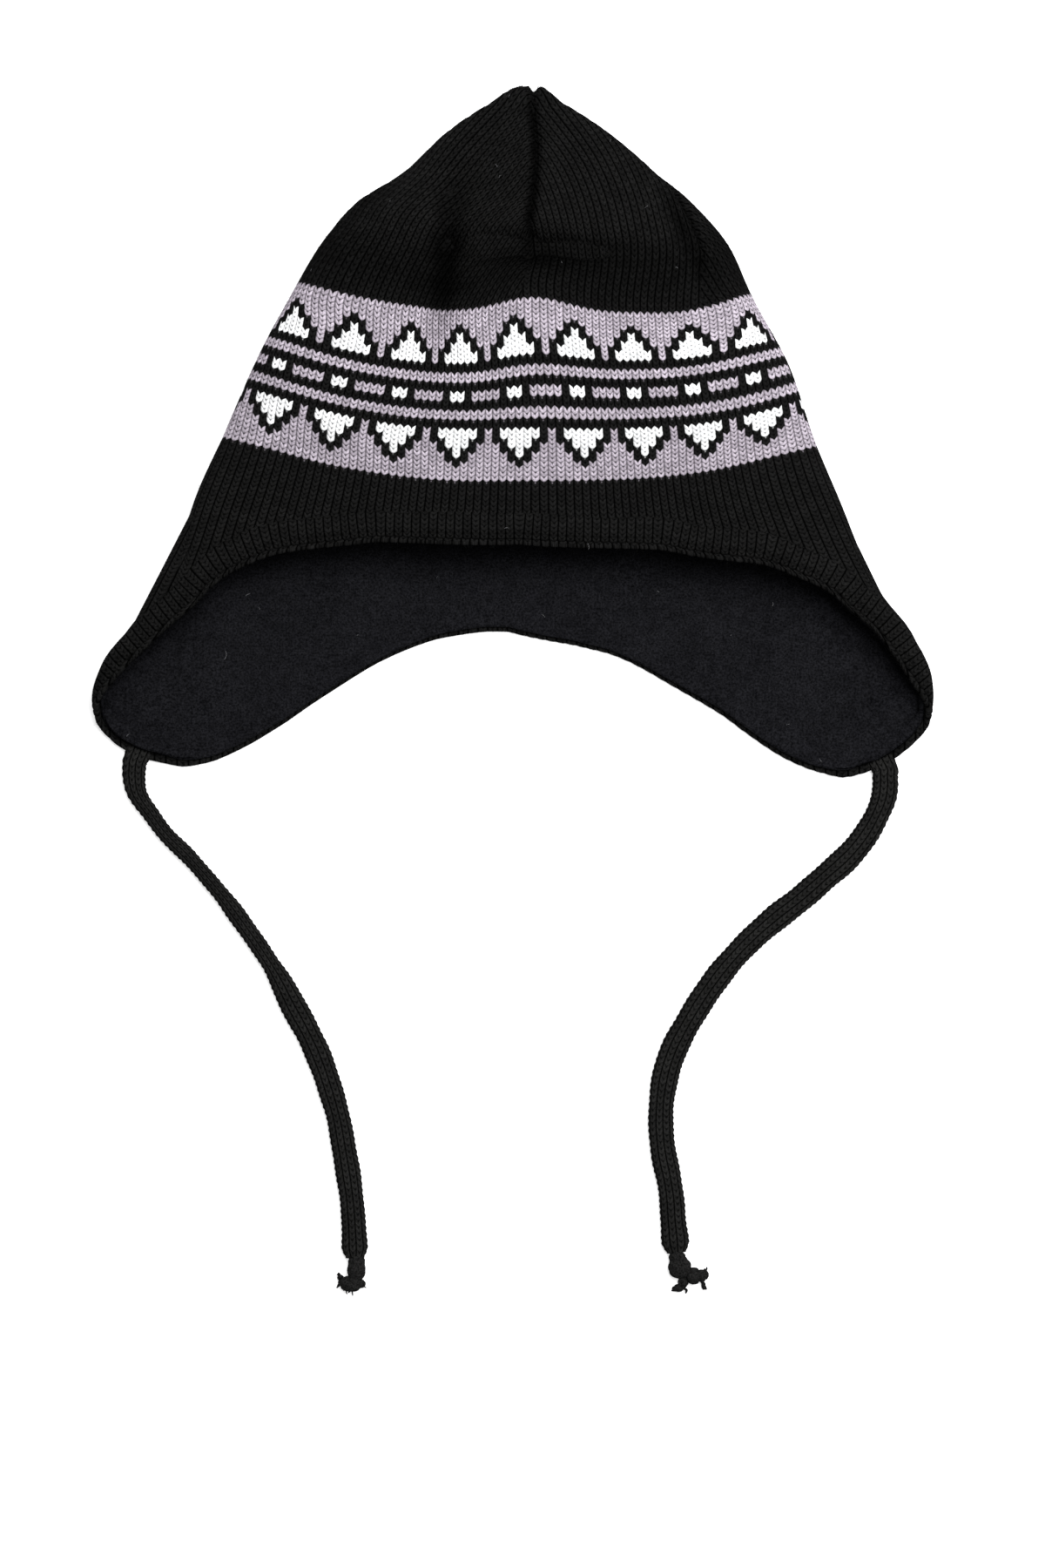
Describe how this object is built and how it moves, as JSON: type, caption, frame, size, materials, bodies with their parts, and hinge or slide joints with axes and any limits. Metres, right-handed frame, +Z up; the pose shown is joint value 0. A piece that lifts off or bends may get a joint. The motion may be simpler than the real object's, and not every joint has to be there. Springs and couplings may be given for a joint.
{
  "type": "earflap beanie",
  "caption": "Knitted earflap beanie lying flat on its back, with a turned hem, a fleece lining, a patterned band and two knitted ties with knotted ends.",
  "frame": {"origin": "on the surface that the hat lies on, under the middle of the hat without its ties", "axes": "+X across the hat to the right as seen from above, +Y towards the crown tip, +Z up, away from the surface"},
  "size_m": [0.3449, 0.4963, 0.042],
  "materials": {
    "black_yarn": "matte knitted yarn",
    "black_fleece": "matte brushed fleece",
    "tie_yarn": "matte knitted yarn"
  },
  "bodies": {
    "root": {"knit_shell": "black_yarn", "fleece_lining": "black_fleece", "tie_cord_left": "tie_yarn", "tie_cord_right": "tie_yarn", "tie_end_left": "tie_yarn", "tie_end_right": "tie_yarn"}
  },
  "joints": []
}
